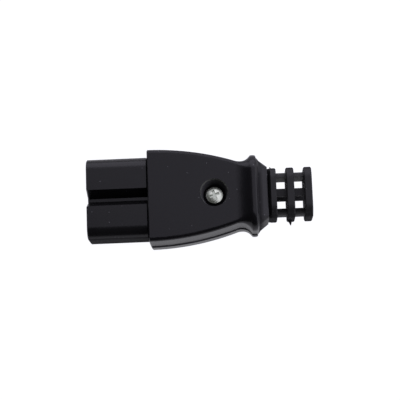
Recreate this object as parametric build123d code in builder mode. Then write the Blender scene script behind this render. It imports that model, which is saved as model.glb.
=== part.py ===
from build123d import *
import os
from math import atan, degrees, radians, sqrt, tan

# Rewireable inline power socket of the keyed, hot-condition appliance pattern.
# X runs along the socket, from the nose (-X) to the cable boot (+X), and Z is up to the screw side.
# The origin is on the axis, where the nose leaves the front of the housing. Millimetres.

# Housing: two half shells that meet on the plane Z = 0
front_width = 27.8
waist_width = 19.7
housing_height = 17.8
wall = 1.6
front_wall = 2.0
wall_draft = 2.2
edge_radius = 1.2
front_edge = 0.25
parting_lip = 0.28
parting_lip_height = 0.6
split_margin = 2.0

# Finger collar and neck behind the waist
flare_start = 25.0
flare_side_sweep = 2.3
flare_top_sweep = 2.5
collar_start = 30.0
collar_thickness = 1.7
collar_width = 23.0
collar_height = 20.0
collar_corner = 5.0
collar_edge = 0.25
neck_length = 3.2
neck_side_step = 0.9
neck_top_step = 0.4
neck_corner = 4.2
neck_root_length = 0.8
neck_root_taper = 55.0
neck_taper = 38.0
rear_wall = 2.1
throat_wall = 1.4

# Contact block: the nose, its keying groove and the terminal carrier inside the housing
nose_length = 18.0
nose_width = 24.0
nose_height = 15.8
nose_corner = 3.5
nose_chamfer = 5.5
nose_chamfer_blend = 0.8
nose_edge = 0.3
nose_heel = 0.4
nose_face = 2.6
groove_width = 4.8
groove_floor = 0.9
groove_depth = 4.5
block_waist_inset = 1.7
block_flange_thickness = 2.4
block_corner = 0.8
barrier_height = 5.2

# Contacts: the pin layout of the appliance pattern and the folded strip
pole_pitch = 14.0
pole_offset = 2.0
slot_width = 2.6
slot_height = 4.8
slot_lead_in = 0.35
strip_thickness = 0.7
leaf_height = 4.2
leaf_gap = 2.2
leaf_pinch = 1.7
leaf_flare = 2.5
leaf_tip_setback = 0.8
leaf_flare_length = 1.6
leaf_spring_length = 4.0
leaf_root_length = 5.0
pad_width = 5.2
pad_length = 7.6

# Terminal screws and the square plates that press the wires down
terminal_shank_radius = 1.5
terminal_shank_length = 2.6
terminal_head_radius = 2.4
terminal_head_height = 1.7
clamp_plate_width = 5.0
clamp_plate_thickness = 0.9

# Housing screw in its tapered recess, and its captive nut
screw_x = 19.3
screw_shank_radius = 1.5
screw_length = 11.4
screw_head_radius = 2.45
screw_head_height = 1.9
screw_head_dome = 0.5
screw_turn = 20.0
recess_mouth_radius = 4.1
recess_floor_radius = 3.2
recess_depth = 5.7
recess_wall = 1.0
nut_across_flats = 5.5
nut_height = 2.4
nut_sink = 1.0
nut_boss_wall = 1.2

# Cord clamp: an arched bar on a bulkhead of the lower shell
clamp_length = 3.6
clamp_wall = 1.0
clamp_foot_thickness = 1.6
clamp_seat_drop = 0.6
clamp_screw_inset = 1.65
clamp_shank_radius = 1.0
clamp_shank_length = 5.5
clamp_head_radius = 1.6
clamp_head_height = 1.4

# Cable boot
boot_tube_width = 12.8
boot_tube_height = 8.4
boot_tube_corner = 3.0
boot_bore_width = 9.4
boot_bore_height = 6.2
boot_flange_width = 15.0
boot_flange_height = 11.4
boot_flange_thickness = 2.0
boot_flange_corner = 2.0
boot_bar_width = 2.3
ring_count = 3
ring_width = 15.0
ring_height = 13.8
ring_corner = 3.6
ring_thickness = 2.3
ring_pitch = 5.2
ring_edge = 0.3
ring_gap = 0.25

# Cross recesses of the screws, as shares of the head
cross_length_share = 1.2
cross_slot_share = 0.34
cross_depth_share = 0.65

# Fits
play = 0.2
slip_fit = 0.12
thread_gap = 0.05
shank_clearance = 0.2

# Places that follow from the sizes above
half_height = housing_height / 2
side_drop = (front_width - waist_width) / 2
side_bow_radius = (flare_start**2 + side_drop**2) / (2 * side_drop)
chamber_half_height = half_height - wall
neck_start = collar_start + collar_thickness
housing_end = neck_start + neck_length
pocket_end = housing_end - rear_wall
pocket_start = pocket_end - boot_flange_thickness - 2 * slip_fit
chamber_end = pocket_start - throat_wall
chamber_tail = flare_start + (collar_start - flare_start) / 4
boot_start = pocket_start + slip_fit
first_ring = housing_end + ring_gap
boot_end = first_ring + (ring_count - 1) * ring_pitch + ring_thickness
window_length = ring_pitch - ring_thickness
window_width = (boot_bore_width - boot_bar_width) / 2

block_flange_start = front_wall + slip_fit
carrier_start = block_flange_start + block_flange_thickness
recess_boss_radius = recess_mouth_radius + recess_wall
carrier_end = screw_x - recess_boss_radius - play

cavity_start = nose_face - nose_length
cavity_width = leaf_flare + 2 * strip_thickness + 2 * play
cavity_height = leaf_height + strip_thickness + play
strip_drop = leaf_height / 2 + strip_thickness
web_width = leaf_gap + 2 * strip_thickness
pad_end = carrier_end - play
terminal_x = pad_end - pad_length / 2
bay_width = pad_width + 2 * play
terminal_hole_depth = terminal_shank_length - clamp_plate_thickness - strip_thickness + play

poles = {
    "live": (pole_pitch / 2, pole_offset),
    "neutral": (-pole_pitch / 2, pole_offset),
    "earth": (0, -pole_offset),
}

clamp_x = (screw_x + recess_boss_radius + chamber_end) / 2
clamp_start = clamp_x - clamp_length / 2
clamp_foot_top = clamp_foot_thickness - clamp_seat_drop

os.makedirs("parts", exist_ok=True)


def finish(builder, name):
    """Label a finished piece and write it to a file of its own."""
    builder.part.label = name
    export_step(builder.part, f"parts/{name}.step")


def blend(start, end, share):
    return start + (end - start) * share


def stations(start, end, count=3):
    """Places from start to end, a few for each loft so that its faces stay smooth."""
    return [blend(start, end, i / count) for i in range(count + 1)]


def body_half_width(x):
    """Half width of the bowed sides at x, without the collar."""
    return front_width / 2 - side_bow_radius + sqrt(side_bow_radius**2 - x**2)


def chamber_half_width(x):
    return body_half_width(min(x, chamber_tail)) - wall


def chamber_clear_width(x):
    """Width in the chamber at x that is free at every height, with play on both sides."""
    lean = chamber_half_height * tan(radians(wall_draft))
    return 2 * (chamber_half_width(x) - lean - play)


def bowed_half(front, rear, inset=0):
    """Upper half of the drafted, bowed housing between two planes, drawn in by inset."""
    start = front - split_margin
    end = rear + split_margin
    side = [(x, body_half_width(x) - inset) for x in (start, (start + end) / 2, end)]
    other_side = [(x, -y) for x, y in side]
    with BuildPart() as form:
        with BuildSketch():
            with BuildLine():
                ThreePointArc(*other_side)
                Line(other_side[-1], side[-1])
                ThreePointArc(*reversed(side))
                Line(side[0], other_side[0])
            make_face()
        extrude(amount=half_height - inset, taper=wall_draft)
        split(bisect_by=Plane.YZ.offset(front), keep=Keep.TOP)
        split(bisect_by=Plane.YZ.offset(rear), keep=Keep.BOTTOM)
    return form.part


def half_section(x, half_width, half_height, corner):
    """Upper half of a housing section at x: drafted walls and rounded top corners."""
    lean = half_height * tan(radians(wall_draft))
    with BuildSketch(Plane.YZ.offset(x)) as section:
        with BuildLine():
            Polyline(
                (half_width, 0),
                (half_width - lean, half_height),
                (lean - half_width, half_height),
                (-half_width, 0),
                close=True,
            )
        make_face()
        fillet(section.vertices().group_by(Axis.Y)[-1], corner)
    return section.sketch


def flare_share(x):
    return (x - flare_start) / (collar_start - flare_start)


def flare_half_width(x):
    return blend(body_half_width(x), collar_width / 2, flare_share(x) ** flare_side_sweep)


def flare_section(x):
    """Outside of the housing at x, flaring out from the waist to the collar."""
    return half_section(
        x,
        flare_half_width(x),
        blend(housing_height, collar_height, flare_share(x) ** flare_top_sweep) / 2,
        blend(edge_radius, collar_corner, flare_share(x) ** flare_side_sweep),
    )


def nose_section(x, inset=0):
    """Outline of the nose at x, drawn in by inset: rounded upper corners and chamfered lower ones."""
    side = nose_width / 2 - inset
    top = nose_height / 2 - inset
    cut = nose_chamfer - (2 - sqrt(2)) * inset
    with BuildSketch(Plane.YZ.offset(x)) as section:
        with BuildLine():
            Polyline(
                (-side, top),
                (side, top),
                (side, cut - top),
                (side - cut, -top),
                (cut - side, -top),
                (-side, cut - top),
                close=True,
            )
        make_face()
        corners = section.vertices().group_by(Axis.Y)
        fillet(corners[-1], max(nose_corner - inset, nose_chamfer_blend))
        fillet(corners[0] + corners[1], nose_chamfer_blend)
    return section.sketch


def screw_form(shank_radius, shank_length, head_radius, head_height, dome=0, turn=0):
    """Screw with its head seated on Z = 0, its shank pointing down and a cross recess on top."""
    rim = head_height - dome
    with BuildPart() as screw:
        with BuildSketch(Plane.XZ):
            with BuildLine():
                Polyline(
                    (0, head_height),
                    (0, -shank_length),
                    (shank_radius, -shank_length),
                    (shank_radius, 0),
                    (head_radius, 0),
                    (head_radius, rim),
                )
                if dome:
                    dome_radius = (head_radius**2 + dome**2) / (2 * dome)
                    RadiusArc((head_radius, rim), (0, head_height), -dome_radius)
                else:
                    Line((head_radius, rim), (0, head_height))
            make_face()
        revolve(axis=Axis.Z)
        with BuildSketch(Plane.XY.offset(head_height)):
            for angle in (turn, turn + 90):
                Rectangle(
                    head_radius * cross_length_share,
                    head_radius * cross_slot_share,
                    rotation=angle,
                )
        extrude(amount=-head_height * cross_depth_share, mode=Mode.SUBTRACT)
    return screw.part


def folded_contact():
    """Contact for a pin on the X axis: two sprung leaves, a web under them and a terminal pad."""
    tip_x = cavity_start + leaf_tip_setback
    pinch_x = tip_x + leaf_flare_length
    knee_x = pinch_x + leaf_spring_length
    root_x = knee_x + leaf_root_length
    half_strip = strip_thickness / 2
    with BuildPart() as contact:
        with BuildSketch(Plane.XY.offset(-strip_drop)) as leaves:
            with BuildLine():
                Polyline(
                    (root_x, leaf_gap / 2 + half_strip),
                    (knee_x, leaf_gap / 2 + half_strip),
                    (pinch_x, leaf_pinch / 2 + half_strip),
                    (tip_x, leaf_flare / 2 + half_strip),
                )
            trace(line_width=strip_thickness)
            mirror(leaves.sketch_local, about=Plane.XZ)
        extrude(amount=strip_drop + leaf_height / 2)
        with BuildSketch(Plane.XY.offset(-strip_drop)):
            with Locations((knee_x, 0)):
                Rectangle(pad_end - knee_x, web_width, align=(Align.MIN, Align.CENTER))
            with Locations((terminal_x, 0)):
                Rectangle(pad_length, pad_width)
                Circle(terminal_shank_radius + thread_gap, mode=Mode.SUBTRACT)
        extrude(amount=strip_thickness)
    return contact.part


# The cord clamp spans the chamber, and its arch fills the room between the heads of its screws
clamp_screw_y = chamber_clear_width(clamp_x) / 2 - clamp_screw_inset
clamp_screws = {"left": clamp_screw_y, "right": -clamp_screw_y}
clamp_arch_radius = clamp_screw_y - clamp_head_radius - slip_fit
clamp_bore_radius = clamp_arch_radius - clamp_wall

# Neck behind the collar: a steep root, then a gentler taper to the boot
with BuildPart() as neck:
    with BuildSketch(Plane.YZ.offset(neck_start)):
        RectangleRounded(
            collar_width - 2 * neck_side_step,
            collar_height - 2 * neck_top_step,
            neck_corner,
        )
    extrude(amount=neck_root_length, taper=neck_root_taper)
    neck_face = neck.faces().sort_by(Axis.X)[-1]
    extrude(to_extrude=neck_face, amount=neck_length - neck_root_length, taper=neck_taper)
    split(bisect_by=Plane.XY, keep=Keep.TOP)

# Outer form of one half of the housing
with BuildPart() as half_body:
    add(bowed_half(0, flare_start))
    top_edges = half_body.faces().sort_by(Axis.Z)[-1].edges().sort_by(Axis.Y)
    fillet([top_edges[0], top_edges[-1]], edge_radius)
    front = half_body.faces().sort_by(Axis.X)[0]
    chamfer(front.edges().sort_by(Axis.Z)[1:], front_edge)
    waist = half_body.faces().sort_by(Axis.X)[-1]
    loft(sections=[waist] + [flare_section(x) for x in stations(flare_start, collar_start)[1:]])
    extrude(to_extrude=flare_section(collar_start), amount=collar_thickness)
    collar_back = half_body.faces().sort_by(Axis.X)[-1]
    chamfer(collar_back.edges().sort_by(Axis.Z)[1:], collar_edge)
    add(neck.part)

# Hollow of one half: chamber, throat, boot pocket and rear opening
with BuildPart() as hollow:
    add(bowed_half(front_wall, chamber_tail, wall))
    chamber_back = hollow.faces().sort_by(Axis.X)[-1]
    extrude(to_extrude=chamber_back, amount=chamber_end - chamber_tail)
    with BuildSketch(Plane.YZ.offset(chamber_end)):
        SlotOverall(boot_bore_width, boot_bore_height)
    extrude(amount=throat_wall)
    with BuildSketch(Plane.YZ.offset(pocket_start)):
        RectangleRounded(
            boot_flange_width + 2 * slip_fit,
            boot_flange_height + 2 * slip_fit,
            boot_flange_corner,
        )
    extrude(amount=pocket_end - pocket_start)
    with BuildSketch(Plane.YZ.offset(pocket_end)):
        RectangleRounded(
            boot_tube_width + 2 * slip_fit,
            boot_tube_height + 2 * slip_fit,
            boot_tube_corner,
        )
    extrude(amount=rear_wall)
    extrude(to_extrude=nose_section(0, block_waist_inset - slip_fit), amount=front_wall)

# Upper shell: a boss round the tapered screw recess
recess_floor = half_height - recess_depth
recess_taper = degrees(atan((recess_mouth_radius - recess_floor_radius) / recess_depth))
with BuildPart() as upper_shell:
    add(half_body.part)
    add(hollow.part, mode=Mode.SUBTRACT)
    with BuildSketch(Plane.XY):
        with Locations((screw_x, 0)):
            Circle(recess_boss_radius)
    extrude(amount=chamber_half_height + wall / 2)
    with BuildSketch(Plane.XY.offset(recess_floor)):
        with Locations((screw_x, 0)):
            Circle(recess_floor_radius)
    extrude(amount=recess_depth + play, taper=-recess_taper, mode=Mode.SUBTRACT)
    with Locations((screw_x, 0, recess_floor)):
        Hole(screw_shank_radius + shank_clearance)
finish(upper_shell, "upper_shell")

# Lower shell: a fine lip along the parting line, a boss with the nut pocket, and the cord's bulkhead
nut_seat = nut_sink + nut_height - half_height
with BuildPart() as lower_shell:
    add(mirror(half_body.part, about=Plane.XY, mode=Mode.PRIVATE))
    with BuildSketch():
        with BuildLine():
            bow = ThreePointArc(
                *[(x, body_half_width(x) + parting_lip) for x in stations(front_edge, flare_start, 2)]
            )
            flare = Spline(
                *[(x, flare_half_width(x) + parting_lip) for x in stations(flare_start, collar_start)]
            )
            Polyline(
                flare @ 1,
                (neck_start - collar_edge, collar_width / 2 + parting_lip),
                (neck_start - collar_edge, 0),
                (front_edge, 0),
                bow @ 0,
            )
        make_face()
        mirror(about=Plane.XZ)
    extrude(amount=-parting_lip_height)
    add(mirror(hollow.part, about=Plane.XY, mode=Mode.PRIVATE), mode=Mode.SUBTRACT)
    with BuildSketch(Plane.XY):
        with Locations((screw_x, 0)):
            Circle(nut_across_flats / sqrt(3) + nut_boss_wall)
    extrude(amount=-chamber_half_height - wall / 2)
    with BuildSketch(Plane.XY.offset(-clamp_seat_drop)):
        with Locations((clamp_x, 0)):
            Rectangle(clamp_length, 2 * chamber_half_width(clamp_x) + wall)
    extrude(amount=clamp_seat_drop - chamber_half_height - wall / 2)
    with BuildSketch(Plane.YZ.offset(clamp_start)):
        Circle(clamp_bore_radius)
    extrude(amount=clamp_length, mode=Mode.SUBTRACT)
    with BuildSketch(Plane.XY.offset(nut_seat)):
        with Locations((screw_x, 0)):
            RegularPolygon(nut_across_flats / 2 + slip_fit, 6, major_radius=False)
    extrude(amount=-nut_height - nut_sink - play, mode=Mode.SUBTRACT)
    with Locations((screw_x, 0, 0)):
        Hole(screw_shank_radius + shank_clearance)
    for y in clamp_screws.values():
        with Locations((clamp_x, y, -clamp_seat_drop)):
            Hole(clamp_shank_radius + thread_gap, depth=clamp_shank_length - clamp_foot_thickness + play)
finish(lower_shell, "lower_shell")

# Housing screw and nut
with BuildPart() as housing_screw:
    with Locations((screw_x, 0, recess_floor)):
        add(
            screw_form(
                screw_shank_radius,
                screw_length,
                screw_head_radius,
                screw_head_height,
                screw_head_dome,
                screw_turn,
            )
        )
finish(housing_screw, "housing_screw")

with BuildPart() as housing_nut:
    with BuildSketch(Plane.XY.offset(nut_seat)):
        with Locations((screw_x, 0)):
            RegularPolygon(nut_across_flats / 2, 6, major_radius=False)
            Circle(screw_shank_radius + thread_gap, mode=Mode.SUBTRACT)
    extrude(amount=-nut_height)
finish(housing_nut, "housing_nut")

# Contact block: nose with the keying groove, waist in the front wall, flange and terminal carrier
with BuildPart() as contact_block:
    nose_top = nose_height / 2
    extrude(to_extrude=nose_section(-nose_length), amount=nose_length)
    with BuildSketch(Plane.YZ.offset(-nose_length)):
        with BuildLine():
            Polyline(
                (-groove_width / 2, nose_top),
                (-groove_floor / 2, nose_top - groove_depth),
                (groove_floor / 2, nose_top - groove_depth),
                (groove_width / 2, nose_top),
                close=True,
            )
        make_face()
    extrude(amount=nose_length, mode=Mode.SUBTRACT)
    front = contact_block.faces().sort_by(Axis.X)[0]
    chamfer(front.outer_wire().edges(), nose_edge)
    heel = contact_block.faces().sort_by(Axis.X)[-1]
    chamfer(heel.outer_wire().edges(), nose_heel)
    extrude(to_extrude=nose_section(0, block_waist_inset), amount=block_flange_start)
    with BuildSketch(Plane.YZ.offset(block_flange_start)):
        RectangleRounded(
            chamber_clear_width(carrier_start),
            2 * (chamber_half_height - play),
            block_corner,
        )
    extrude(amount=block_flange_thickness)
    carrier_bottom = play - chamber_half_height
    with BuildSketch(Plane.YZ.offset(carrier_start)) as carrier:
        with Locations((0, carrier_bottom)):
            Rectangle(
                chamber_clear_width(carrier_end),
                barrier_height - carrier_bottom,
                align=(Align.CENTER, Align.MIN),
            )
        fillet(carrier.vertices().group_by(Axis.Y)[0], block_corner)
    extrude(amount=carrier_end - carrier_start)
    for y, z in poles.values():
        strip_floor = z - strip_drop
        with BuildSketch(Plane.YZ.offset(cavity_start)):
            with Locations((y, strip_floor)):
                Rectangle(cavity_width, cavity_height, align=(Align.CENTER, Align.MIN))
        extrude(amount=carrier_start - cavity_start, mode=Mode.SUBTRACT)
        with BuildSketch(Plane.YZ.offset(carrier_start)):
            with Locations((y, strip_floor)):
                Rectangle(bay_width, barrier_height - strip_floor, align=(Align.CENTER, Align.MIN))
        extrude(amount=carrier_end - carrier_start, mode=Mode.SUBTRACT)
        with BuildSketch(Plane.YZ.offset(-nose_length)):
            with Locations((y, z)):
                Rectangle(slot_width, slot_height)
        extrude(amount=nose_face, mode=Mode.SUBTRACT)
        with Locations((terminal_x, y, strip_floor)):
            Hole(terminal_shank_radius + shank_clearance, depth=terminal_hole_depth)
    front = contact_block.faces().sort_by(Axis.X)[0]
    slot_mouths = ShapeList(edge for mouth in front.inner_wires() for edge in mouth.edges())
    chamfer(slot_mouths, slot_lead_in)
finish(contact_block, "contact_block")

# Contacts, wire clamps and terminal screws, one set for each pole
for pole, (y, z) in poles.items():
    pad_top = z - strip_drop + strip_thickness
    with BuildPart() as contact:
        with Locations((0, y, z)):
            add(folded_contact())
    finish(contact, f"{pole}_contact")

    with BuildPart() as wire_clamp:
        with BuildSketch(Plane.XY.offset(pad_top)):
            with Locations((terminal_x, y)):
                Rectangle(clamp_plate_width, clamp_plate_width)
                Circle(terminal_shank_radius + shank_clearance, mode=Mode.SUBTRACT)
        extrude(amount=clamp_plate_thickness)
    finish(wire_clamp, f"{pole}_wire_clamp")

    with BuildPart() as terminal_screw:
        with Locations((terminal_x, y, pad_top + clamp_plate_thickness)):
            add(
                screw_form(
                    terminal_shank_radius,
                    terminal_shank_length,
                    terminal_head_radius,
                    terminal_head_height,
                )
            )
    finish(terminal_screw, f"{pole}_terminal_screw")

# Cord clamp on its bulkhead, held by two screws
with BuildPart() as cord_clamp:
    with BuildSketch(Plane.YZ.offset(clamp_start)):
        with Locations((0, -clamp_seat_drop)):
            Rectangle(
                chamber_clear_width(clamp_x),
                clamp_foot_thickness,
                align=(Align.CENTER, Align.MIN),
            )
        Circle(clamp_arch_radius)
        Circle(clamp_bore_radius, mode=Mode.SUBTRACT)
        with Locations((0, -clamp_seat_drop)):
            Rectangle(
                chamber_clear_width(clamp_x),
                chamber_half_height,
                align=(Align.CENTER, Align.MAX),
                mode=Mode.SUBTRACT,
            )
    extrude(amount=clamp_length)
    for y in clamp_screws.values():
        with Locations((clamp_x, y, clamp_foot_top)):
            Hole(clamp_shank_radius + shank_clearance)
finish(cord_clamp, "cord_clamp")

for side_name, y in clamp_screws.items():
    with BuildPart() as clamp_screw:
        with Locations((clamp_x, y, clamp_foot_top)):
            add(
                screw_form(
                    clamp_shank_radius, clamp_shank_length, clamp_head_radius, clamp_head_height
                )
            )
    finish(clamp_screw, f"{side_name}_clamp_screw")

# Cable boot: flange in the housing, slotted tube, rings and the windows between them
with BuildPart() as cable_boot:
    for i in range(ring_count):
        with BuildSketch(Plane.YZ.offset(first_ring + i * ring_pitch)):
            RectangleRounded(ring_width, ring_height, ring_corner)
    extrude(amount=ring_thickness)
    chamfer(cable_boot.edges().filter_by(Plane.YZ), ring_edge)
    with BuildSketch(Plane.YZ.offset(boot_start)):
        RectangleRounded(boot_flange_width, boot_flange_height, boot_flange_corner)
    extrude(amount=boot_flange_thickness)
    with BuildSketch(Plane.YZ.offset(boot_start)):
        RectangleRounded(boot_tube_width, boot_tube_height, boot_tube_corner)
    extrude(amount=boot_end - boot_start)
    with BuildSketch(Plane.YZ.offset(boot_start)):
        SlotOverall(boot_bore_width, boot_bore_height)
    extrude(amount=boot_end - boot_start, mode=Mode.SUBTRACT)
    with BuildSketch(Plane.XY):
        for i in range(ring_count - 1):
            for y in (-1, 1):
                with Locations(
                    (
                        first_ring + i * ring_pitch + ring_thickness + window_length / 2,
                        y * (boot_bar_width + window_width) / 2,
                    )
                ):
                    Rectangle(window_length, window_width)
    extrude(amount=ring_height, both=True, mode=Mode.SUBTRACT)
finish(cable_boot, "cable_boot")
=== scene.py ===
import math

import bmesh
import bpy
from mathutils import Matrix, Vector


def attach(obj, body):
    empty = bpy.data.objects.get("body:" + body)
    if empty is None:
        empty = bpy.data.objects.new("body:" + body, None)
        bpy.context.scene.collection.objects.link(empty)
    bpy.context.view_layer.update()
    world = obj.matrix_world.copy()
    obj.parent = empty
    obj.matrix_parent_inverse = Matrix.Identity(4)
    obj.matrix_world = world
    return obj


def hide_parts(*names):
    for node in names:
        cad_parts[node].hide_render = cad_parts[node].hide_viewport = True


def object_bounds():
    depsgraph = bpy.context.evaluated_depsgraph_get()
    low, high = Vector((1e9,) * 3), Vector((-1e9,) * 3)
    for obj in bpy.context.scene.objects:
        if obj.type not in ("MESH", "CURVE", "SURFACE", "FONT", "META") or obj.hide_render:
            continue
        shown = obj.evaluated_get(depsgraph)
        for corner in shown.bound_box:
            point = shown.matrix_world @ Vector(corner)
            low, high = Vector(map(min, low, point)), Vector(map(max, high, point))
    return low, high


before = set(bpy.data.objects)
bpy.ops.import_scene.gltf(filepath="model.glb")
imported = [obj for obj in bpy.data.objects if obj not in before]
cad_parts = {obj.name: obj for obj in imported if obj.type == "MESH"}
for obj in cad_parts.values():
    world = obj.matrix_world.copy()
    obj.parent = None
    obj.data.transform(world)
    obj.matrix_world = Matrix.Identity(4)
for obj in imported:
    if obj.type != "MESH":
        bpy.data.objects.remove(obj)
cad_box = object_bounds()
scene = bpy.context.scene
scene.view_settings.view_transform = "Standard"

MM = 0.001

# Camera, as the photograph looks down on the socket
CAMERA_ELEVATION = math.radians(78.96)
CAMERA_AZIMUTH = math.radians(7.95)
CAMERA_ROLL = math.radians(-10.17)
CAMERA_FOCAL_PIXELS = 1303.5
PHOTO_PIXELS = 400
CAMERA_DISTANCE = 386.05 * MM
CAMERA_TARGET = Vector((14.89 * MM, -0.40 * MM, 0))
CAMERA_NEAR = 10 * MM
SENSOR_MM = 36.0

# Soft lights: place, width and height, and radiance of each
SOFTBOXES = {
    "overhead_sheet": ((0.25, 0.26, 0.95), (1.06, 0.80), 1.06),
    "back_window": ((0.05, 0.80, 0.50), (1.6, 0.90), 2.00),
    "right_window": ((0.85, -0.05, 0.36), (1.5, 0.78), 1.50),
}
LIGHT_AIM = (0.015, 0, 0)
COOL_LIGHT = (1.0, 0.97, 1.14)
WHITE = (1, 1, 1, 1)
ROOM_GLOW = 0.06
BACKDROP_GLOW = 1.0

# White tabletop
FLOOR_SIZE = 4.0
FLOOR_DROP = 0.02 * MM
FLOOR_PALE = (0.86, 0.86, 0.86, 1)
FLOOR_WHITE = (1.0, 1.0, 1.04, 1)
FLOOR_WHITE_STRENGTH = 1.08
FLOOR_CAMERA_SHARE = 0.92
FLOOR_GLOSSY_SHARE = 0.38

# Edge softening and shading of the pieces that show
MERGE_GAP = 0.002 * MM
FLAT_ANGLE = math.radians(0.6)
SHARP_ANGLE = math.radians(32)
EDGE_SEGMENTS = 2
SHELL_EDGE = 0.12 * MM
NOSE_EDGE = 0.15 * MM
BOOT_EDGE = 0.14 * MM
SCREW_EDGE = 0.08 * MM

# Rolled rim of the housing's collar, in the CAD frame
RIM_START = 30.0 * MM
RIM_END = 31.7 * MM
RIM_HALF_WIDTH = 11.5 * MM
RIM_HALF_HEIGHT = 10.0 * MM
RIM_CORNER = 5.0 * MM
RIM_SKIN = 1.0 * MM
RIM_CROWN = (0.70 * MM, 0.80 * MM)
RIM_BACK = 1.45 * MM
RIM_LEAD = 0.70 * MM
RIM_FALL = 0.10 * MM
RIM_ROWS = 9

# Joint between the boot's first ring and the neck
RING_FRONT = 35.15 * MM
RING_EDGE = 35.45 * MM
TUBE_HALF_WIDTH = 6.4 * MM
TUBE_HALF_HEIGHT = 4.2 * MM
JOINT_FRONT = 34.94 * MM
JOINT_BACK = 35.85 * MM
JOINT_SINK = 0.72
JOINT_SPREAD = 1.05

# Flash pips on the boot: root, aim and size of each
PIP_SIZES = {"Length": 2.0 * MM, "Root Radius": 0.85 * MM, "Tip Radius": 0.10 * MM}
PIP_SIDES = 10
BOOT_PIPS = (
    ((41.15 * MM, -7.1 * MM, 0), (0.08, -1, -0.1), 1.0),
    ((35.95 * MM, 7.3 * MM, 2.4 * MM), (-0.1, 1, 0.1), 0.45),
)

# Housing screw: its axis, its flatter crown and the painted shade that darkens its driver recess
SCREW_AXIS = (19.3 * MM, 0, 0)
HEAD_SHOULDER = 4.6 * MM
HEAD_CROWN_SHARE = 0.6
DRIVER_RECESS = (4.5 * MM, 4.3 * MM)
# Painted shade: a darker colour laid on the driver recess, where shade falls
DRIVER_RECESS_PAINTED_SHADE = (0.42, 0.45, 0.38)

# Black mouldings: clouds of tone, dust, scratches, relief and matt sides
MOULDING_SPECULAR = 0.24
MOULDING_TONES = (0.3, 0.7)
DUST_GREY = (0.085, 0.085, 0.09)
SCRATCH_GREY = (0.08, 0.08, 0.085)
SCRATCH_STRETCH = (0.14, 1.0, 0.0)
RELIEF_DEPTH = 0.01 * MM
SIDE_LEAD = 0.4 * MM
ALL_ALONG = -1.0

# Housing: lighter grey parting line, matt neck root and far edge, and the screw recess with painted light
# on its wall and painted shade on its floor
HOUSING_DARK = (0.0036, 0.0035, 0.0042)
SEAM_EDGES = (0.22 * MM, 0.176 * MM)
# A lighter grey laid along the parting line
SEAM_GREY = (0.055, 0.055, 0.058)
NECK_ROOT = (31.95 * MM, 32.2 * MM, 32.35 * MM, 33.6 * MM)
NECK_ROOT_ROUGHNESS = 0.92
FAR_SIDE = (5.0 * MM, 6.0 * MM, 15.0 * MM, 16.0 * MM)
FAR_EDGE = (7.8 * MM, 8.0 * MM, 8.86 * MM, 8.895 * MM)
FAR_EDGE_ROUGHNESS = 0.45
RECESS_MOUTH_RADIUS = 3.95 * MM
RECESS_FLOOR_RADIUS = 3.3 * MM
RECESS_FADE = 0.1 * MM
RECESS_ROUGHNESS = 0.80
# Painted light: a lighter grey on the recess wall that stands in for light falling on it
RECESS_WALL_PAINTED_LIGHT = (0.068, 0.068, 0.072)

# Turned metal: clouds of tarnish and turning rings
TARNISH_PER_METRE = 700.0
TARNISH_TONES = (0.3, 0.75)
TURNING_RELIEF = 0.12
CONTACT_AXIS = (10.0 * MM, 0, 0)


def place_camera():
    """Camera at the photograph's angle, distance and roll."""
    back = Vector((
        math.sin(CAMERA_AZIMUTH) * math.cos(CAMERA_ELEVATION),
        -math.cos(CAMERA_AZIMUTH) * math.cos(CAMERA_ELEVATION),
        math.sin(CAMERA_ELEVATION),
    ))
    level = Vector((math.cos(CAMERA_AZIMUTH), math.sin(CAMERA_AZIMUTH), 0))
    above = back.cross(level)
    right = math.cos(CAMERA_ROLL) * level + math.sin(CAMERA_ROLL) * above
    up = math.cos(CAMERA_ROLL) * above - math.sin(CAMERA_ROLL) * level
    lens = bpy.data.cameras.new("photo_camera")
    lens.sensor_width = SENSOR_MM
    lens.lens = CAMERA_FOCAL_PIXELS / PHOTO_PIXELS * SENSOR_MM
    lens.clip_start = CAMERA_NEAR
    camera = bpy.data.objects.new("photo_camera", lens)
    turn = Matrix((right, up, back)).transposed().to_4x4()
    camera.matrix_world = Matrix.Translation(CAMERA_TARGET + back * CAMERA_DISTANCE) @ turn
    scene.collection.objects.link(camera)
    scene.camera = camera


def add_node(tree, kind, **values):
    """A node with its settings and inputs by name; an underscore stands for a space in an input's name."""
    node = tree.nodes.new(kind)
    for name, value in values.items():
        socket = name.replace("_", " ")
        if socket in node.inputs:
            node.inputs[socket].default_value = value
        else:
            setattr(node, name, value)
    return node


def feed(tree, socket, value):
    """Link a socket to another one, or set it to a plain value."""
    if isinstance(value, bpy.types.NodeSocket):
        tree.links.new(value, socket)
    else:
        socket.default_value = value


def compute(tree, operation, *values):
    """Result of one step of arithmetic on sockets and plain values."""
    node = add_node(tree, "ShaderNodeMath", operation=operation)
    for socket, value in zip(node.inputs, values):
        feed(tree, socket, value)
    return node.outputs[0]


def rise(tree, place, start, end):
    """Mask that goes from 0 at the start to 1 at the end."""
    node = add_node(tree, "ShaderNodeMapRange")
    for name, value in (("Value", place), ("From Min", start), ("From Max", end)):
        feed(tree, node.inputs[name], value)
    return node.outputs["Result"]


def mix_surface(tree, share, under, over, output):
    """Make a mix of two shaders the surface of a material or the world."""
    mix = add_node(tree, "ShaderNodeMixShader")
    end = add_node(tree, output)
    for socket, source in zip(mix.inputs, (share, under.outputs[0], over.outputs[0])):
        tree.links.new(source, socket)
    tree.links.new(mix.outputs[0], end.inputs["Surface"])


def add_softbox(name, place, size, radiance):
    """A rectangular soft light of that radiance, which faces the socket."""
    data = bpy.data.lights.new(name, "AREA")
    data.shape = "RECTANGLE"
    data.size, data.size_y = size
    data.energy = radiance * math.pi * size[0] * size[1]
    data.color = COOL_LIGHT
    light = bpy.data.objects.new(name, data)
    facing = (Vector(LIGHT_AIM) - Vector(place)).to_track_quat("-Z", "Y")
    light.matrix_world = Matrix.Translation(place) @ facing.to_matrix().to_4x4()
    scene.collection.objects.link(light)


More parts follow.
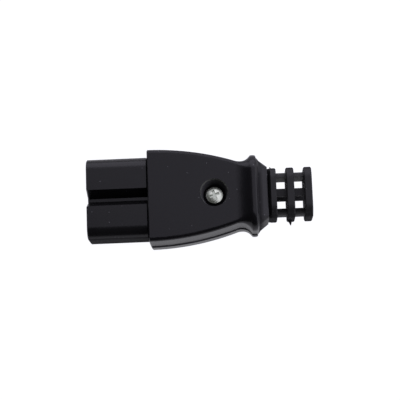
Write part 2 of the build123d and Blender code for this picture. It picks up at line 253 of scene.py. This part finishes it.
def light_room():
    """Soft lights in a dim room, which the camera sees as a white backdrop."""
    for name, (place, size, radiance) in SOFTBOXES.items():
        add_softbox(name, place, size, radiance)
    world = bpy.data.worlds.new("studio")
    world.use_nodes = True
    tree = world.node_tree
    tree.nodes.clear()
    ray = add_node(tree, "ShaderNodeLightPath")
    glow = add_node(tree, "ShaderNodeBackground", Color=WHITE, Strength=ROOM_GLOW)
    white = add_node(tree, "ShaderNodeBackground", Color=WHITE, Strength=BACKDROP_GLOW)
    mix_surface(tree, ray.outputs["Is Camera Ray"], glow, white, "ShaderNodeOutputWorld")
    scene.world = world


def make_white_tabletop():
    """Pale surface that looks white to the camera, and partly so in reflections."""
    material = bpy.data.materials.new("white_tabletop")
    material.use_nodes = True
    tree = material.node_tree
    tree.nodes.clear()
    ray = add_node(tree, "ShaderNodeLightPath").outputs
    seen = compute(tree, "MULTIPLY", ray["Is Camera Ray"], FLOOR_CAMERA_SHARE)
    reflected = compute(tree, "MAXIMUM", ray["Is Glossy Ray"], ray["Is Transmission Ray"])
    mirrored = compute(tree, "MULTIPLY", reflected, FLOOR_GLOSSY_SHARE)
    pale = add_node(tree, "ShaderNodeBsdfDiffuse", Color=FLOOR_PALE)
    white = add_node(tree, "ShaderNodeEmission", Color=FLOOR_WHITE, Strength=FLOOR_WHITE_STRENGTH)
    mix_surface(tree, compute(tree, "MAXIMUM", seen, mirrored), pale, white, "ShaderNodeOutputMaterial")
    return material


def lay_floor():
    """White tabletop that keeps the socket's soft shadow."""
    low = cad_box[0][2] - FLOOR_DROP
    half = FLOOR_SIZE / 2
    mesh = bpy.data.meshes.new("tabletop")
    corners = [(-half, -half, low), (half, -half, low), (half, half, low), (-half, half, low)]
    mesh.from_pydata(corners, [], [(0, 1, 2, 3)])
    mesh.materials.append(make_white_tabletop())
    floor = bpy.data.objects.new("tabletop", mesh)
    scene.collection.objects.link(floor)


def new_group(name, values, *outputs):
    """An empty shader group that takes a place and named values, and its sockets inside."""
    group = bpy.data.node_groups.new(name, "ShaderNodeTree")
    sockets = group.interface
    sockets.new_socket("Vector", in_out="INPUT", socket_type="NodeSocketVector")
    for socket, value in values.items():
        kind = "NodeSocketVector" if isinstance(value, tuple) else "NodeSocketFloat"
        sockets.new_socket(socket, in_out="INPUT", socket_type=kind).default_value = value
    for socket in outputs:
        sockets.new_socket(socket, in_out="OUTPUT", socket_type="NodeSocketFloat")
    return group, add_node(group, "NodeGroupInput").outputs, add_node(group, "NodeGroupOutput").inputs


def make_moulded_grain():
    """Fine skin of a moulding: a height for relief, and slow clouds of tone."""
    group, given, result = new_group(
        "moulded_grain", {"Grain per metre": 4000.0, "Clouds per metre": 120.0}, "Height", "Tone")
    link = group.links.new
    grain = add_node(group, "ShaderNodeTexNoise", Detail=3.0, Roughness=0.55)
    clouds = add_node(group, "ShaderNodeTexNoise", Detail=4.0, Roughness=0.6)
    link(given["Vector"], grain.inputs["Vector"])
    link(given["Vector"], clouds.inputs["Vector"])
    link(given["Grain per metre"], grain.inputs["Scale"])
    link(given["Clouds per metre"], clouds.inputs["Scale"])
    link(grain.outputs["Fac"], result["Height"])
    link(clouds.outputs["Fac"], result["Tone"])
    return group


def mark_cells(group, place, given, reach, channel):
    """Mask of the middles of some cells, which a channel of their random colours picks."""
    link = group.links.new
    cells = add_node(group, "ShaderNodeTexVoronoi", feature="F1")
    split = add_node(group, "ShaderNodeSeparateColor")
    link(place, cells.inputs["Vector"])
    link(given["Cells per metre"], cells.inputs["Scale"])
    link(cells.outputs["Color"], split.inputs["Color"])
    near = compute(group, "LESS_THAN", cells.outputs["Distance"], reach)
    chosen = compute(group, "GREATER_THAN", split.outputs[channel], given["Rarity"])
    return compute(group, "MULTIPLY", near, chosen)


def make_dust_specks():
    """Scattered dust: small round specks in some cells of a fine pattern."""
    group, given, result = new_group(
        "dust_specks", {"Cells per metre": 800.0, "Speck size": 0.10, "Rarity": 0.8}, "Mask")
    mask = mark_cells(group, given["Vector"], given, given["Speck size"], "Red")
    group.links.new(mask, result["Mask"])
    return group


def make_handling_scratches():
    """Sparse short scratches: thin dashes in a few cells of a turned and stretched pattern."""
    group, given, result = new_group(
        "handling_scratches",
        {"Angle": 0.5, "Cells per metre": 600.0, "Width": 0.045, "Rarity": 0.62}, "Mask")
    link = group.links.new
    turn = add_node(group, "ShaderNodeVectorRotate", rotation_type="Z_AXIS")
    stretch = add_node(group, "ShaderNodeVectorMath", operation="MULTIPLY")
    stretch.inputs[1].default_value = SCRATCH_STRETCH
    link(given["Vector"], turn.inputs["Vector"])
    link(given["Angle"], turn.inputs["Angle"])
    link(turn.outputs[0], stretch.inputs[0])
    mask = mark_cells(group, stretch.outputs[0], given, given["Width"], "Green")
    link(mask, result["Mask"])
    return group


def make_matt_sides():
    """Side faces of a moulding that are matt, all along it or only behind a place."""
    group, given, result = new_group(
        "matt_sides", {"Start": 6.0 * MM, "End": 7.0 * MM, "Behind": ALL_ALONG}, "Mask")
    split = add_node(group, "ShaderNodeSeparateXYZ")
    group.links.new(given["Vector"], split.inputs["Vector"])
    out = rise(group, compute(group, "ABSOLUTE", split.outputs["Y"]), given["Start"], given["End"])
    full = compute(group, "ADD", given["Behind"], SIDE_LEAD)
    rear = rise(group, split.outputs["X"], given["Behind"], full)
    group.links.new(compute(group, "MULTIPLY", out, rear), result["Mask"])
    return group


def make_turning_rings():
    """Fine rings that a lathe leaves round an upright axis: a height for relief."""
    group, given, result = new_group(
        "turning_rings", {"Axis place": (0.0, 0.0, 0.0), "Rings per metre": 2600.0}, "Height")
    link = group.links.new
    middle = add_node(group, "ShaderNodeMapping", vector_type="TEXTURE")
    rings = add_node(group, "ShaderNodeTexWave", wave_type="RINGS", rings_direction="Z", Distortion=0.6)
    link(given["Vector"], middle.inputs["Vector"])
    link(given["Axis place"], middle.inputs["Location"])
    link(middle.outputs["Vector"], rings.inputs["Vector"])
    link(given["Rings per metre"], rings.inputs["Scale"])
    link(rings.outputs["Fac"], result["Height"])
    return group


class Finish:
    """A material in the making: its nodes, and the colour and roughness laid on it so far."""

    def __init__(self, name):
        self.material = bpy.data.materials.new(name)
        self.material.use_nodes = True
        self.tree = self.material.node_tree
        self.link = self.tree.links.new
        self.shader = self.tree.nodes["Principled BSDF"]
        self.place = add_node(self.tree, "ShaderNodeTexCoord").outputs["Object"]
        self.colour = None
        self.roughness = None

    def effect(self, group, **values):
        """Outputs of an effect's group, which gets this material's values."""
        node = add_node(self.tree, "ShaderNodeGroup", node_tree=group, **values)
        self.link(self.place, node.inputs["Vector"])
        return node.outputs

    def cloud(self, tone, span, dark, light, gloss):
        """Start with a colour and a roughness that follow clouds of tone."""
        ramp = add_node(self.tree, "ShaderNodeValToRGB")
        for stop, position, colour in zip(ramp.color_ramp.elements, span, (dark, light)):
            stop.position = position
            stop.color = (*colour, 1)
        spread = add_node(self.tree, "ShaderNodeMapRange", To_Min=gloss[0], To_Max=gloss[1])
        self.link(tone, ramp.inputs["Fac"])
        self.link(tone, spread.inputs["Value"])
        self.colour = ramp.outputs["Color"]
        self.roughness = spread.outputs["Result"]

    def mix(self, kind, mask, under, over):
        """A socket's colours or values, with a plain one over them where the mask is 1."""
        node = add_node(self.tree, "ShaderNodeMix", data_type=kind)
        self.link(mask, node.inputs["Factor"])
        self.link(under, node.inputs["A"])
        node.inputs["B"].default_value = over
        return node.outputs["Result"]

    def tint(self, mask, colour):
        """Lay another colour on where the mask is 1."""
        self.colour = self.mix("RGBA", mask, self.colour, (*colour, 1))

    def roughen(self, mask, roughness):
        """Lay another roughness on where the mask is 1."""
        self.roughness = self.mix("FLOAT", mask, self.roughness, roughness)

    def along(self, axis):
        """A point's place along one axis of the piece."""
        split = add_node(self.tree, "ShaderNodeSeparateXYZ")
        self.link(self.place, split.inputs["Vector"])
        return split.outputs[axis]

    def band(self, axis, start, full, fade, end):
        """Mask that rises along an axis to its full height and falls away again."""
        place = self.along(axis)
        return self.both(rise(self.tree, place, start, full), rise(self.tree, place, end, fade))

    def both(self, first, second):
        """Mask of what two masks share."""
        return compute(self.tree, "MULTIPLY", first, second)

    def within(self, axis_place, radius):
        """Mask of what lies inside a radius round an upright axis."""
        flat = add_node(self.tree, "ShaderNodeVectorMath", operation="MULTIPLY_ADD")
        flat.inputs[1].default_value = (1, 1, 0)
        flat.inputs[2].default_value = (-axis_place[0], -axis_place[1], 0)
        reach = add_node(self.tree, "ShaderNodeVectorMath", operation="LENGTH")
        self.link(self.place, flat.inputs[0])
        self.link(flat.outputs["Vector"], reach.inputs[0])
        return rise(self.tree, reach.outputs["Value"], radius, radius - RECESS_FADE)

    def complete(self, height, strength):
        """Link the colour, the roughness and a relief to the shader, and give the material."""
        relief = add_node(self.tree, "ShaderNodeBump", Strength=strength, Distance=RELIEF_DEPTH)
        self.link(height, relief.inputs["Height"])
        self.link(relief.outputs["Normal"], self.shader.inputs["Normal"])
        self.link(self.colour, self.shader.inputs["Base Color"])
        self.link(self.roughness, self.shader.inputs["Roughness"])
        return self.material


def black_moulding(name, dark, light, gloss, grain_per_metre, dust_rarity, scratch_angle, scratch_strength):
    """Black plastic with clouds of tone, dust and short scratches, and the height of its fine skin."""
    finish = Finish(name)
    finish.shader.inputs["Specular IOR Level"].default_value = MOULDING_SPECULAR
    skin = finish.effect(moulded_grain, Grain_per_metre=grain_per_metre)
    dust = finish.effect(dust_specks, Rarity=dust_rarity)
    scratches = finish.effect(handling_scratches, Angle=scratch_angle)
    finish.cloud(skin["Tone"], MOULDING_TONES, dark, light, gloss)
    finish.tint(dust["Mask"], DUST_GREY)
    finish.tint(compute(finish.tree, "MULTIPLY", scratches["Mask"], scratch_strength), SCRATCH_GREY)
    return finish, skin["Height"]


def make_housing_black():
    """Semi-gloss shells: matt neck and far edge, a lighter grey parting line, and a matt screw recess with
    painted light on its wall and painted shade on its floor.
    """
    finish, height = black_moulding(
        "housing_black", dark=HOUSING_DARK, light=(0.0055, 0.0053, 0.0062), gloss=(0.20, 0.30),
        grain_per_metre=3500.0, dust_rarity=0.74, scratch_angle=0.35, scratch_strength=0.8)
    # A lighter grey band along the parting line
    seam = rise(finish.tree, compute(finish.tree, "ABSOLUTE", finish.along("Z")), *SEAM_EDGES)
    finish.tint(seam, SEAM_GREY)
    neck_sides = finish.effect(matt_sides, Start=6.9 * MM, End=8.2 * MM, Behind=31.8 * MM)
    finish.roughen(neck_sides["Mask"], roughness=0.50)
    finish.roughen(finish.band("X", *NECK_ROOT), NECK_ROOT_ROUGHNESS)
    far_edge = finish.both(finish.band("Y", *FAR_SIDE), finish.band("Z", *FAR_EDGE))
    finish.roughen(far_edge, FAR_EDGE_ROUGHNESS)
    # Screw recess: matt, with painted light (a lighter grey) on its wall and painted shade (the housing's
    # darkest tone laid over the dust) on its floor
    recess = finish.within(SCREW_AXIS, RECESS_MOUTH_RADIUS)
    finish.roughen(recess, RECESS_ROUGHNESS)
    finish.tint(recess, RECESS_WALL_PAINTED_LIGHT)
    finish.tint(finish.within(SCREW_AXIS, RECESS_FLOOR_RADIUS), HOUSING_DARK)
    return finish.complete(height, strength=0.10)


def make_nose_black():
    """Satin thermoset nose with matt sides."""
    finish, height = black_moulding(
        "nose_black", dark=(0.0036, 0.0036, 0.0040), light=(0.0058, 0.0058, 0.0062), gloss=(0.22, 0.30),
        grain_per_metre=3000.0, dust_rarity=0.80, scratch_angle=1.1, scratch_strength=0.6)
    sides = finish.effect(matt_sides, Start=11.5 * MM, End=11.9 * MM)
    finish.roughen(sides["Mask"], roughness=0.85)
    return finish.complete(height, strength=0.14)


def make_boot_black():
    """Satin flexible boot with matt sides."""
    finish, height = black_moulding(
        "boot_black", dark=(0.0100, 0.0100, 0.0102), light=(0.0145, 0.0145, 0.0148), gloss=(0.48, 0.60),
        grain_per_metre=2600.0, dust_rarity=0.84, scratch_angle=0.2, scratch_strength=0.2)
    sides = finish.effect(matt_sides, Start=6.4 * MM, End=6.8 * MM)
    finish.roughen(sides["Mask"], roughness=0.92)
    return finish.complete(height, strength=0.22)


def turned_metal(name, dark, light, gloss, axis_place):
    """Bright metal with clouds of tarnish, and the height of its turning rings."""
    finish = Finish(name)
    finish.shader.inputs["Metallic"].default_value = 1.0
    skin = finish.effect(moulded_grain, Clouds_per_metre=TARNISH_PER_METRE)
    rings = finish.effect(turning_rings, Axis_place=axis_place)
    finish.cloud(skin["Tone"], TARNISH_TONES, dark, light, gloss)
    return finish, rings["Height"]


def make_screw_steel():
    """Plated housing screw, with painted shade darkening its driver recess."""
    finish, height = turned_metal(
        "screw_steel", dark=(0.56, 0.59, 0.50), light=(0.70, 0.74, 0.63), gloss=(0.19, 0.28),
        axis_place=SCREW_AXIS)
    # Painted shade: the driver recess, below the head's top, gets a darker colour
    finish.tint(rise(finish.tree, finish.along("Z"), *DRIVER_RECESS), DRIVER_RECESS_PAINTED_SHADE)
    return finish.complete(height, TURNING_RELIEF)


def make_plated_steel():
    """Plated terminal screws, clamp plates, clamp screws and nut inside the housing."""
    finish, height = turned_metal(
        "plated_steel", dark=(0.60, 0.60, 0.56), light=(0.76, 0.76, 0.72), gloss=(0.25, 0.36),
        axis_place=SCREW_AXIS)
    return finish.complete(height, TURNING_RELIEF)


def make_contact_brass():
    """Bright brass of the three contacts."""
    finish, height = turned_metal(
        "contact_brass", dark=(0.60, 0.44, 0.18), light=(0.78, 0.60, 0.28), gloss=(0.20, 0.34),
        axis_place=CONTACT_AXIS)
    return finish.complete(height, TURNING_RELIEF)


def rim_depth(y, z):
    """How far a point lies outside the rim's rounded outline, and the outward direction there."""
    side = abs(y) - RIM_HALF_WIDTH + RIM_CORNER
    rim_rise = abs(z) - RIM_HALF_HEIGHT + RIM_CORNER
    if side > 0 and rim_rise > 0:
        out = Vector((side, rim_rise))
        depth = out.length - RIM_CORNER
        out.normalize()
    else:
        out = Vector((1, 0)) if side > rim_rise else Vector((0, 1))
        depth = max(side, rim_rise) - RIM_CORNER
    return depth, Vector((0, math.copysign(out.x, y), math.copysign(out.y, z)))


def rim_fall(along):
    """Depth by which the rolled rim falls away at a distance past its front edge."""
    if along < 0:
        return RIM_FALL * max(0, 1 + along / RIM_LEAD) ** 2
    if along < RIM_CROWN[0]:
        return RIM_FALL * (1 - along / RIM_CROWN[0]) ** 2
    return RIM_FALL * min(1, max(0, along - RIM_CROWN[1]) / (RIM_BACK - RIM_CROWN[1])) ** 2


def roll_rim(form):
    """Round the collar's flat band to a soft crown that stays inside the solid."""
    for i in range(1, RIM_ROWS):
        level = Vector((RIM_START + i * RIM_BACK / RIM_ROWS, 0, 0))
        everything = form.verts[:] + form.edges[:] + form.faces[:]
        bmesh.ops.bisect_plane(
            form, geom=everything, dist=MERGE_GAP / 2, plane_co=level, plane_no=(1, 0, 0))
    for point in form.verts:
        along = point.co.x - RIM_START
        depth, outward = rim_depth(point.co.y, point.co.z)
        if -RIM_LEAD < along < RIM_END - RIM_START + MERGE_GAP and depth > -RIM_SKIN:
            point.co -= rim_fall(along) * outward


def settle_dome(form):
    """Lower the crown of the screw head to the flatter one of a plated pan head."""
    for point in form.verts:
        if point.co.z > HEAD_SHOULDER:
            point.co.z = HEAD_SHOULDER + HEAD_CROWN_SHARE * (point.co.z - HEAD_SHOULDER)


def draw_in_joint(form):
    """Draw the first ring's front edge in to a dark joint against the neck."""
    for point in form.verts:
        past_tube = max(abs(point.co.y) - TUBE_HALF_WIDTH, abs(point.co.z) - TUBE_HALF_HEIGHT)
        if past_tube <= MERGE_GAP:
            continue
        if abs(point.co.x - RING_FRONT) < MERGE_GAP:
            point.co.x = JOINT_FRONT
            point.co.y *= JOINT_SPREAD
            point.co.z *= JOINT_SINK
        elif abs(point.co.x - RING_EDGE) < MERGE_GAP:
            point.co.x = JOINT_BACK


def dress(node, material, edge, reshape=None):
    """A merged, smoothly shaded copy of a CAD piece with softened edges, which stands for it."""
    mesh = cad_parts[node].data.copy()
    mesh.name = node + "_skin"
    form = bmesh.new()
    form.from_mesh(mesh)
    bmesh.ops.remove_doubles(form, verts=form.verts, dist=MERGE_GAP)
    if reshape:
        reshape(form)
    bmesh.ops.dissolve_limit(form, angle_limit=FLAT_ANGLE, verts=form.verts, edges=form.edges)
    for face in form.faces:
        face.smooth = True
    for line in form.edges:
        line.smooth = line.is_manifold and line.calc_face_angle() < SHARP_ANGLE
    form.to_mesh(mesh)
    form.free()
    mesh.materials.clear()
    mesh.materials.append(material)
    piece = bpy.data.objects.new(node + "_skin", mesh)
    scene.collection.objects.link(piece)
    soften = piece.modifiers.new("soft_edges", "BEVEL")
    soften.width = edge
    soften.segments = EDGE_SEGMENTS
    soften.limit_method = "ANGLE"
    soften.angle_limit = SHARP_ANGLE
    soften.harden_normals = True
    level = piece.modifiers.new("even_shading", "WEIGHTED_NORMAL")
    level.keep_sharp = True
    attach(piece, "root")
    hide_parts(node)


def make_flash_pips():
    """Tree that stands a small torn pip on each point, along its aim and at its size."""
    tree = bpy.data.node_groups.new("flash_pips", "GeometryNodeTree")
    sockets = tree.interface
    sockets.new_socket("Geometry", in_out="INPUT", socket_type="NodeSocketGeometry")
    for name in PIP_SIZES:
        sockets.new_socket(name, in_out="INPUT", socket_type="NodeSocketFloat")
    sockets.new_socket("Moulding", in_out="INPUT", socket_type="NodeSocketMaterial")
    sockets.new_socket("Geometry", in_out="OUTPUT", socket_type="NodeSocketGeometry")
    source = add_node(tree, "NodeGroupInput")
    sink = add_node(tree, "NodeGroupOutput")
    pip = add_node(tree, "GeometryNodeMeshCone", Vertices=PIP_SIDES)
    aim = add_node(tree, "GeometryNodeInputNamedAttribute", data_type="FLOAT_VECTOR", Name="aim")
    size = add_node(tree, "GeometryNodeInputNamedAttribute", data_type="FLOAT", Name="size")
    turn = add_node(tree, "FunctionNodeAlignRotationToVector", axis="Z")
    stand = add_node(tree, "GeometryNodeInstanceOnPoints")
    real = add_node(tree, "GeometryNodeRealizeInstances")
    coat = add_node(tree, "GeometryNodeSetMaterial")
    link = tree.links.new
    link(source.outputs["Length"], pip.inputs["Depth"])
    link(source.outputs["Root Radius"], pip.inputs["Radius Bottom"])
    link(source.outputs["Tip Radius"], pip.inputs["Radius Top"])
    link(aim.outputs["Attribute"], turn.inputs["Vector"])
    link(source.outputs["Geometry"], stand.inputs["Points"])
    link(pip.outputs["Mesh"], stand.inputs["Instance"])
    link(turn.outputs["Rotation"], stand.inputs["Rotation"])
    link(size.outputs["Attribute"], stand.inputs["Scale"])
    link(stand.outputs["Instances"], real.inputs["Geometry"])
    link(real.outputs["Geometry"], coat.inputs["Geometry"])
    link(source.outputs["Moulding"], coat.inputs["Material"])
    link(coat.outputs["Geometry"], sink.inputs["Geometry"])
    return tree


def add_boot_pips(material):
    """Flash left on the boot's rings: one pip on the second ring and a small one on the first."""
    roots = bpy.data.meshes.new("pip_roots")
    roots.from_pydata([place for place, aim, size in BOOT_PIPS], [], [])
    roots.attributes.new("aim", "FLOAT_VECTOR", "POINT")
    roots.attributes.new("size", "FLOAT", "POINT")
    for i, (place, aim, size) in enumerate(BOOT_PIPS):
        roots.attributes["aim"].data[i].vector = aim
        roots.attributes["size"].data[i].value = size
    seed = bpy.data.objects.new("pip_roots", roots)
    scene.collection.objects.link(seed)
    tree = make_flash_pips()
    modifier = seed.modifiers.new("flash_pips", "NODES")
    modifier.node_group = tree
    inputs = {item.name: item.identifier for item in tree.interface.items_tree if item.in_out == "INPUT"}
    for name, size in PIP_SIZES.items():
        modifier[inputs[name]] = size
    modifier[inputs["Moulding"]] = material
    graph = bpy.context.evaluated_depsgraph_get()
    mesh = bpy.data.meshes.new_from_object(seed.evaluated_get(graph), depsgraph=graph)
    mesh.name = "boot_pips"
    bpy.data.objects.remove(seed)
    pips = bpy.data.objects.new("boot_pips", mesh)
    scene.collection.objects.link(pips)
    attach(pips, "root")


def paint(node, material):
    """Give a hidden CAD piece its material."""
    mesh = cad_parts[node].data
    mesh.materials.clear()
    mesh.materials.append(material)


place_camera()
light_room()
lay_floor()

moulded_grain = make_moulded_grain()
dust_specks = make_dust_specks()
handling_scratches = make_handling_scratches()
matt_sides = make_matt_sides()
turning_rings = make_turning_rings()

housing_black = make_housing_black()
nose_black = make_nose_black()
boot_black = make_boot_black()
screw_steel = make_screw_steel()
plated_steel = make_plated_steel()
contact_brass = make_contact_brass()

dress("upper_shell", housing_black, SHELL_EDGE, roll_rim)
dress("lower_shell", housing_black, SHELL_EDGE, roll_rim)
dress("contact_block", nose_black, NOSE_EDGE)
dress("cable_boot", boot_black, BOOT_EDGE, draw_in_joint)
dress("housing_screw", screw_steel, SCREW_EDGE, settle_dome)
add_boot_pips(boot_black)
paint("cord_clamp", housing_black)
for pole in ("live", "neutral", "earth"):
    paint(pole + "_contact", contact_brass)
    paint(pole + "_wire_clamp", plated_steel)
    paint(pole + "_terminal_screw", plated_steel)
for hidden in ("housing_nut", "left_clamp_screw", "right_clamp_screw"):
    paint(hidden, plated_steel)
